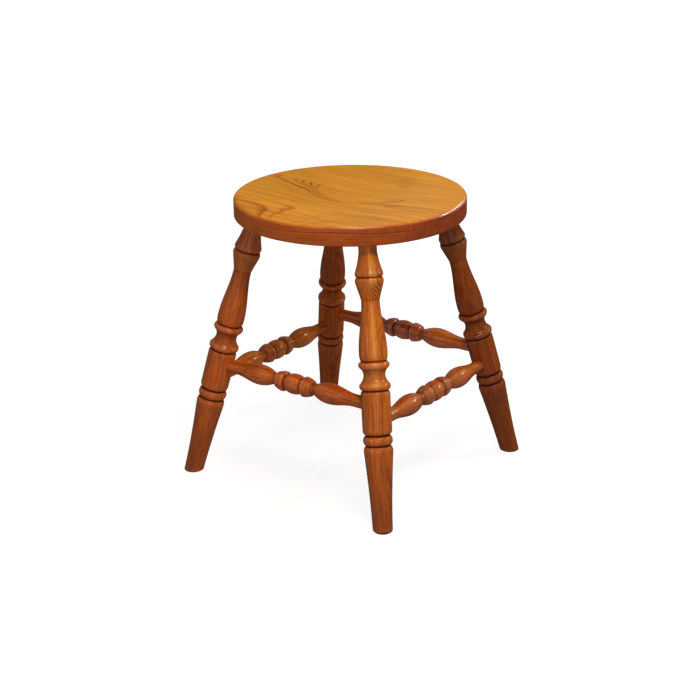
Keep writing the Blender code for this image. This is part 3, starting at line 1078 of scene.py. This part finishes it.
@dataclass
class Stretchers:
    """Four turned stretchers: a higher pair along Y and a lower pair along X."""

    sides: int = 64
    middle_mm: float = 16.3
    belly_mm: float = 16.4
    end_mm: float = 10.0
    end_length_mm: float = 16.0
    leg_skin_mm: float = 23.31
    past_axis_mm: float = 5.0
    belly_share: float = 0.38
    timber: dict[str, Timber] = field(default_factory=lambda: {
        "left": Timber(
            Sawn.RIFT, turn_deg=30.0, start_mm=4100.0, tone=0.93, gloss=0.85,
            # A pale streak on the upper, lit side: figure and painted highlight.
            flames_and_painted_light=(FlameAndPaintedLight(0.3, -45.0, 14.0, -70.0, 70.0),)),
        "right": Timber(
            Sawn.RIFT, turn_deg=140.0, start_mm=5200.0, tone=1.06, gloss=1.2,
            # A pale streak on the upper, lit side: figure and painted highlight.
            flames_and_painted_light=(FlameAndPaintedLight(0.45, -22.0, 12.0, -125.0, -28.0),)),
        "front": Timber(
            # Darker and redder towards its end by the right leg: painted shade.
            Sawn.FLAT, turn_deg=200.0, start_mm=6400.0, tone=0.81, gloss=1.25, deepening=0.4,
            # A pale streak on the upper, lit side: figure and painted highlight.
            deep_mm=(100.0, 145.0), flames_and_painted_light=(FlameAndPaintedLight(0.5, 42.0, 15.0, -130.0, 120.0),)),
        "back": Timber(Sawn.QUARTER, turn_deg=310.0, start_mm=7300.0, tone=1.18, stain=0.3, gloss=0.75)})

    def profile(self, tip_mm: float) -> Profile:
        """The whole turned outline of a stretcher: one half and its mirror image.

        Args:
            tip_mm: how far from the middle the tenons end.

        Returns:
            The outline.
        """
        middle = cut_rows(
            (16, 12, hollow_out), (5, 16.3, hollow_in), (3.2, 15.6, round_over), (0.8, 13.9, straight),
            (0.9, 15.2, round_up), (3.1, 14.2, round_over), (0.8, 12.4, straight), (0.9, 13.6, round_up),
            (3, 12.2, round_over), (1.2, 10.2, straight), (3.6, 9.2, hollow_in), (2.5, 9.1, straight))
        skin_mm = tip_mm - self.past_axis_mm - self.leg_skin_mm
        vase_mm = skin_mm - self.end_length_mm - sum(cut.length_mm for cut in middle)
        rise_mm = vase_mm * self.belly_share
        vase = cut_rows(
            (rise_mm, self.belly_mm, hollow_in), (vase_mm - rise_mm, self.end_mm, ease),
            (tip_mm - skin_mm + self.end_length_mm, self.end_mm, straight))
        half = Profile.from_cuts(0, self.middle_mm, middle + vase)
        whole = Profile(
            np.concatenate([-half.distance[:0:-1], half.distance]),
            np.concatenate([half.radius[:0:-1], half.radius]))
        return whole.softened()

    def build(self) -> None:
        """Builds and dresses the stretchers."""
        material = TURNED_ASH.material()
        for side, timber in self.timber.items():
            node = "stretcher_" + side
            low, high = np.array(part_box(node))
            run = Y if side in ("left", "right") else X
            axis = Axis((low + high) / 2, run, Z)
            profile = self.profile(float((high - low) @ run) / 2 / MM)
            mesh = turned_mesh("turned_" + node, profile, axis, self.sides)
            timber.dress(mesh, axis, profile)
            note(mesh, end=0.0)
            show("turned_" + node, mesh, material, node)


@dataclass(frozen=True)
class RimGloss:
    """A stretch of the seat's rim that shines: its strength, and its middle and half width in degrees."""

    strength: float
    side_deg: float
    half_deg: float

    def level(self, turn_deg: Array) -> Array:
        """A bell curve of the direction."""
        return self.strength * bell(off_side(turn_deg, self.side_deg) / self.half_deg)


@dataclass
class Seat:
    """The round dished seat, glued up from boards that run along Y."""

    measures: Measures
    top_round_mm: float = 5.0
    bottom_round_mm: float = 3.0
    rim_mm: float = 14.0
    dish_mm: float = 9.0
    glue_mm: float = 0.06
    # Painted shade on the rounded rim reaches this far in from the edge.
    rim_shade_mm: float = 9.0
    rim_shade_share: float = 0.3
    # Painted light takes this share off the edge's tint at one end of the side.
    pale_share: float = 0.45
    gloss_past_mm: float = 0.5
    end_power: int = 4
    sides: int = 288
    dish_steps: int = 64
    rim_steps: int = 8
    round_steps: int = 9
    side_steps: int = 10
    cut_tolerance: float = 1e-7
    sheen: Spot = Spot(0.068, (-20.0, -130.0), (110.0, 72.0))
    rim_glosses: tuple[RimGloss, ...] = (RimGloss(0.5, -78.0, 14.0), RimGloss(0.06, -134.0, 12.0))
    figures: dict[int, BoardFigure] = field(default_factory=lambda: {
        1: BoardFigure(
            across_mm=30.0, dip=Spot(-3.2, (-185.0, -2.0), (45.0, 40.0)), plain=0.25,
            bold=(Spot(0.75, (-145.0, 55.0), (50.0, 45.0)), Spot(0.7, (-118.0, 30.0), (30.0, 16.0))),
            shades=(Spot(0.15, (-91.0, -98.0), (5.0, 32.0)), Spot(0.1, (-140.0, -45.0), (5.0, 28.0))),
            # Painted light on the left end of the upright side.
            side_pale=Spot(0.52, (-140.0, 115.0), (60.0, 70.0)),
            start_mm=300.0, side_stain=0.92, side_bold=1.1),
        2: BoardFigure(
            across_mm=NO_RINGS_MM, first_year=4.72, loops=Loops(5.0, (24.0, 8.0), 45.0, 78.0, 0.055, 80.0),
            dip=Spot(1.3, (-14.0, -200.0), (13.0, 110.0)),
            bold=(
                Spot(1.1, (-2.0, 102.0), (30.0, 50.0)), Spot(1.0, (16.0, 88.0), (14.0, 16.0)),
                Spot(1.6, (12.0, -64.0), (20.0, 24.0)), Spot(1.6, (-20.0, 28.0), (14.0, 45.0)),
                Spot(0.9, (-12.0, -152.0), (24.0, 22.0))),
            shades=(Spot(0.17, (-28.0, 82.0), (28.0, 44.0)),),
            start_mm=1300.0, side_bold=0.6),
        3: BoardFigure(
            across_mm=8.0, dip=Spot(1.2, (105.0, -25.0), (25.0, 26.0)),
            bold=(Spot(0.6, (105.0, -28.0), (28.0, 18.0)),),
            shades=(
                Spot(0.06, (85.0, 60.0), (26.0, 50.0)), Spot(0.1, (118.0, -24.0), (9.0, 7.0)),
                Spot(0.1, (95.0, -40.0), (12.0, 6.0))),
            # A pale patch of painted light on the top's right front.
            pale=Spot(0.2, (110.0, -60.0), (70.0, 80.0)), start_mm=2500.0),
        4: BoardFigure(
            # A pale patch of painted light on the top's right front.
            across_mm=9.0, pale=Spot(0.2, (110.0, -60.0), (70.0, 80.0)), start_mm=3700.0)})

    def outline(self) -> tuple[Array, Array]:
        """The seat's section from the middle of the top, out over the rim and back under to the middle.

        The dish is half a cosine wave deep, the two edges are quarter circles and the rest is straight.

        Returns:
            Radius and drop below the seat's top, in metres, without the two middle points.
        """
        radius_mm = self.measures.seat_radius / MM
        thick_mm = (self.measures.seat_top - self.measures.underside) / MM
        flat_mm = radius_mm - self.top_round_mm
        dish_edge = flat_mm - self.rim_mm
        under_edge = radius_mm - self.bottom_round_mm
        share = np.linspace(0, 1, self.dish_steps)[1:]
        turn = np.linspace(0, np.pi / 2, self.round_steps)
        rim = np.linspace(dish_edge, flat_mm, self.rim_steps)[1:-1]
        side = np.linspace(self.top_round_mm, thick_mm - self.bottom_round_mm, self.side_steps)[1:-1]
        under = under_edge * (1 - share[:-1])
        radii = np.concatenate([
            dish_edge * share, rim, flat_mm + self.top_round_mm * np.sin(turn),
            np.full_like(side, radius_mm), under_edge + self.bottom_round_mm * np.cos(turn), under])
        drops = np.concatenate([
            self.dish_mm * (1 - ease(share)), np.zeros_like(rim), self.top_round_mm * (1 - np.cos(turn)),
            side, thick_mm - self.bottom_round_mm * (1 - np.sin(turn)), np.full_like(under, thick_mm)])
        return radii * MM, drops * MM

    def disc(self) -> Skin:
        """The whole seat as one skin: the section turned about Z.

        Returns:
            The skin.
        """
        radii, drops = (values[:, None] for values in self.outline())
        turn = full_turn(self.sides)
        top = self.measures.seat_top
        rings = np.stack([radii * np.cos(turn), radii * np.sin(turn), top - drops + 0 * turn], axis=-1)
        poles = (top - self.dish_mm * MM) * Z, self.measures.underside * Z
        mesh = closed_mesh("seat_disc", rings, *poles)
        skin = bmesh.new()
        skin.from_mesh(mesh)
        bpy.data.meshes.remove(mesh)
        return skin

    def build(self) -> None:
        """Slices the disc into its boards and dresses each with its own figure."""
        material = SEAT_ASH.material()
        whole = self.disc()
        half_glue = self.glue_mm * MM / 2
        boxes = [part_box("seat_board_%d" % number) for number in self.figures]
        seams = [(left[1][0] + right[0][0]) / 2 for left, right in zip(boxes, boxes[1:])]
        lefts = [None] + [seam + half_glue for seam in seams]
        rights = [seam - half_glue for seam in seams] + [None]
        for number, left, right in zip(self.figures, lefts, rights):
            name = "dished_board_%d" % number
            mesh = self.slice(name, whole, left, right)
            self.dress(mesh, self.figures[number])
            show(name, mesh, material, "seat_board_%d" % number)
        whole.free()

    def slice(self, name: str, whole: Skin, left: float | None, right: float | None) -> Mesh:
        """Keeps what lies between two upright planes and closes the cut faces.

        Args:
            name: the board's name.
            whole: the whole seat.
            left: the left plane's X, if the board has one.
            right: the right plane's X, if the board has one.

        Returns:
            The board.
        """
        board = whole.copy()
        for place, facing in ((left, -1), (right, 1)):
            if place is None:
                continue
            bmesh.ops.bisect_plane(
                board, geom=board.verts[:] + board.edges[:] + board.faces[:], dist=self.cut_tolerance,
                plane_co=(place, 0, 0), plane_no=(facing, 0, 0), clear_outer=True)
            bmesh.ops.contextual_create(board, geom=[edge for edge in board.edges if edge.is_boundary])
        return smooth_mesh(bpy.data.meshes.new(name), board)

    def below_top(self, away: Array, height: Array) -> Array:
        """How far points lie under the dished top, from their distance from the middle and their height."""
        dish_edge = self.measures.seat_radius - (self.top_round_mm + self.rim_mm) * MM
        return self.measures.seat_top - height - self.dish_mm * MM * (1 - fade(away, 0, dish_edge))

    def dress(self, mesh: Mesh, figure: BoardFigure) -> None:
        """Stores the grain, the darker, redder edge and the shining rim on a board.

        The edge is how far a face leans, and a little more near the seat's edge: its tint is partly the
        stain and partly painted shade on the rounded rim and the upright side. The rim shines where
        its round leans half way: four times the square of the upright share, times the rest.

        Args:
            mesh: the board.
            figure: its year rings.
        """
        x, y, height = mesh_points(mesh).T
        away = np.hypot(x, y)
        radius = self.measures.seat_radius
        figure.mark(mesh, self.below_top(away, height), radius)
        _, facing_y, facing_up = mesh_normals(mesh).T
        # Painted shade: the rounded rim and the upright side get a darker, redder tint, partly the stain's
        # own.
        rim_shade = fade(away, radius - self.rim_shade_mm * MM, radius)
        edge = np.clip(1 - facing_up + self.rim_shade_share * rim_shade, 0, 1)
        bend = 4 * np.maximum(facing_up, 0) ** 2 * (1 - facing_up ** 2)
        rim = np.where(away > radius - (self.top_round_mm + self.gloss_past_mm) * MM, bend, 0)
        rim_gloss = sum(gloss.level(np.degrees(np.arctan2(y, x))) for gloss in self.rim_glosses)
        sheen = self.sheen.level(x / MM, y / MM)
        # Painted light at one end of the upright side lightens the edge's tint.
        side_pale = figure.side_pale.level(x / MM, y / MM)
        note(
            mesh,
            hollow=0.0,
            polish=FLAT_POLISH + sheen * (1 - edge) + rim * rim_gloss,
            stain=edge * figure.side_stain * (1 - self.pale_share * side_pale),
            end=edge * facing_y ** self.end_power,
        )


@dataclass
class HiddenPieces:
    """The dowels across the seat's seams and the wedges in the legs' tenons."""

    chamfer_mm: float = 0.8
    sides: int = 48
    stations: int = 24
    weld: float = 1e-5
    flat_angle: float = 0.02
    bevel_mm: float = 0.15

    def build(self) -> None:
        """Builds and dresses the dowels, then gives the wedges their own finish."""
        beech = DOWEL_BEECH.material()
        oak = WEDGE_OAK.material()
        for node in sorted(frame["nodes"]):
            if node.startswith("dowel_"):
                self.dowel(node, beech)
            elif node.startswith("wedge_"):
                self.wedge(node, oak)

    def dowel(self, node: str, material: Material) -> None:
        """A rod with chamfered ends, turned round the X axis.

        Args:
            node: the CAD dowel that it replaces.
            material: its finish.
        """
        low, high = np.array(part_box(node))
        half, _, radius = (high - low) / 2
        chamfer = self.chamfer_mm * MM
        between = np.linspace(chamfer - half, half - chamfer, self.stations)
        along = np.concatenate([[-half], between, [half]])
        width = np.full_like(along, radius)
        width[[0, -1]] -= chamfer
        axis = Axis((low + high) / 2, X, Z)
        mesh = turned_mesh("beech_" + node, Profile(along, width), axis, self.sides)
        self.dress(mesh, axis)
        show("beech_" + node, mesh, material, node)

    def wedge(self, node: str, material: Material) -> None:
        """A copy of the CAD wedge with its edges broken by a small bevel.

        Args:
            node: the CAD wedge that it replaces.
            material: its finish.
        """
        mesh = frame["nodes"][node].data.copy()
        mesh.materials.clear()
        body = bmesh.new()
        body.from_mesh(mesh)
        bmesh.ops.remove_doubles(body, verts=body.verts, dist=self.weld)
        bmesh.ops.dissolve_limit(body, angle_limit=self.flat_angle, verts=body.verts, edges=body.edges)
        bmesh.ops.bevel(
            body, geom=body.edges[:], offset=self.bevel_mm * MM, segments=2, affect="EDGES", profile=0.5)
        bmesh.ops.recalc_face_normals(body, faces=body.faces)
        body.to_mesh(mesh)
        body.free()
        self.dress(mesh, Axis(mesh_points(mesh).mean(axis=0), Z, X))
        show("oak_" + node, mesh, material, node)

    def dress(self, mesh: Mesh, axis: Axis) -> None:
        """Stores straight grain along the piece, without hollows, gloss or end grain."""
        Timber(Sawn.RIFT).mark(mesh, axis)
        note(mesh, hollow=0.0, polish=0.0, end=0.0)


@dataclass(frozen=True)
class Lamp:
    """A soft oblong lamp that looks at a height above the middle of the floor."""

    name: str
    place: tuple[float, float, float]
    aim_height: float
    size: Pair
    watts: float
    hex_colour: str = WHITE

    def build(self) -> None:
        """Puts up the lamp."""
        light = bpy.data.lights.new(self.name, "AREA")
        light.shape = "RECTANGLE"
        light.size, light.size_y = self.size
        light.energy = self.watts
        light.color = linear(self.hex_colour)[:3]
        lamp = put(self.name, light)
        lamp.location = self.place
        look = Vector((0, 0, self.aim_height)) - Vector(self.place)
        lamp.rotation_euler = look.to_track_quat("-Z", "Y").to_euler()


@dataclass
class Studio:
    """The camera at the photograph's place, soft lamps and a pale floor."""

    azimuth_deg: float = -53.11
    elevation_deg: float = 20.98
    roll_deg: float = -0.739
    distance: float = 2.6859
    focal_px: float = 1652.0
    picture_px: int = 700
    sensor_mm: float = 36.0
    aim_height: float = 0.1945
    aim_aside: float = -0.0033
    world_light: float = 0.11
    floor_reach: float = 40.0
    floor_grey: float = 0.25
    floor_lift: Pair = (0.86, 1.0)
    floor_lift_reach: Pair = (0.4, 2.2)
    lamps: tuple[Lamp, ...] = (
        Lamp("overhead", (0.0, 0.0, 1.9), 0.4, (0.4, 0.4), 9.6),
        Lamp("key", (-0.59, -0.84, 1.53), 0.3, (0.6, 0.3), 13.2, "#FFEBD0"),
        Lamp("front_fill", (-1.49, -1.12, 0.6), 0.25, (0.9, 0.9), 5.5, "#FFEBD0"),
        Lamp("left_fill", (-1.9, 0.6, 0.9), 0.3, (1.2, 1.2), 3.6),
        Lamp("right_strip", (1.77, -0.41, 1.27), 0.4, (2.4, 0.2), 8.5),
        Lamp("right_glint", (1.4, -1.17, 1.2), 0.3, (0.25, 0.25), 7.0),
    )

    def build(self) -> None:
        """Puts up the camera, the world, the floor and the lamps."""
        self.camera()
        self.world()
        self.floor()
        for lamp in self.lamps:
            lamp.build()

    def camera(self) -> None:
        """A camera at the photograph's angle, distance and roll."""
        azimuth = math.radians(self.azimuth_deg)
        elevation = math.radians(self.elevation_deg)
        roll = math.radians(self.roll_deg)
        right = Vector((math.cos(azimuth), math.sin(azimuth), 0))
        level = math.cos(elevation)
        back = Vector((math.sin(azimuth) * level, -math.cos(azimuth) * level, math.sin(elevation)))
        upward = back.cross(right)
        turned_right = right * math.cos(roll) + upward * math.sin(roll)
        turned_up = upward * math.cos(roll) - right * math.sin(roll)
        lens = bpy.data.cameras.new("camera")
        lens.sensor_width = self.sensor_mm
        lens.lens = self.focal_px * self.sensor_mm / self.picture_px
        camera = put("camera", lens)
        place = Matrix((turned_right, turned_up, back)).transposed().to_4x4()
        place.translation = Vector((0, 0, self.aim_height)) + right * self.aim_aside + back * self.distance
        camera.matrix_world = place
        bpy.context.scene.camera = camera

    def seen_share(self, tree: Tree) -> Socket:
        """Tells rays that see from light that bounces about.

        Args:
            tree: the nodes of the floor or the world.

        Returns:
            1 for rays from the camera, a gloss or a glass, and 0 for others.
        """
        path = add(tree, "ShaderNodeLightPath").outputs
        gloss = calculate(tree, "MAXIMUM", path["Is Camera Ray"], path["Is Glossy Ray"])
        return calculate(tree, "MAXIMUM", gloss, path["Is Transmission Ray"])

    def world(self) -> None:
        """White where it is seen, and a quiet even light on the object."""
        world = bpy.data.worlds.new("studio")
        bpy.context.scene.world = world
        tree = emptied(world)
        strength = add(tree, "ShaderNodeMapRange", {
            "Value": self.seen_share(tree), "To Min": self.world_light, "To Max": 1.0})
        background = add(tree, "ShaderNodeBackground", {
            "Color": linear(WHITE), "Strength": strength.outputs["Result"]})
        add(tree, "ShaderNodeOutputWorld", {"Surface": background.outputs[0]})

    def floor(self) -> None:
        """A pale floor: a wide square that keeps the stool's shadow and is lifted to white where seen."""
        mesh = bpy.data.meshes.new("floor")
        corners = self.floor_reach * np.array([-X - Y, X - Y, X + Y, Y - X])
        mesh.from_pydata(corners.tolist(), [], [(0, 1, 2, 3)])
        floor = put("floor", mesh)
        material = bpy.data.materials.new("pale_paper_floor")
        tree = emptied(material)
        grey = self.floor_grey
        paper = add(tree, "ShaderNodeBsdfDiffuse", {"Color": (grey, grey, grey, 1)}).outputs[0]
        place = add(tree, "ShaderNodeTexCoord").outputs["Object"]
        away = add(tree, "ShaderNodeVectorMath", {0: place}, operation="LENGTH").outputs["Value"]
        level = ramp(tree, away, self.floor_lift_reach, *self.floor_lift)
        lift = add(tree, "ShaderNodeEmission", {"Color": linear(WHITE), "Strength": level}).outputs[0]
        seen = add(tree, "ShaderNodeAddShader", {0: paper, 1: lift}).outputs[0]
        mixed = add(tree, "ShaderNodeMixShader", {0: self.seen_share(tree), 1: paper, 2: seen})
        add(tree, "ShaderNodeOutputMaterial", {"Surface": mixed.outputs[0]})
        mesh.materials.append(material)


def main() -> None:
    """Builds the stool's pieces and the studio."""
    logging.basicConfig(level=logging.INFO, format="%(name)s %(message)s")
    measures = Measures.from_frame()
    Legs(measures).build()
    Stretchers().build()
    Seat(measures).build()
    HiddenPieces().build()
    Studio().build()
    bpy.context.scene.view_settings.view_transform = "Standard"


if __name__ == "__main__":
    main()
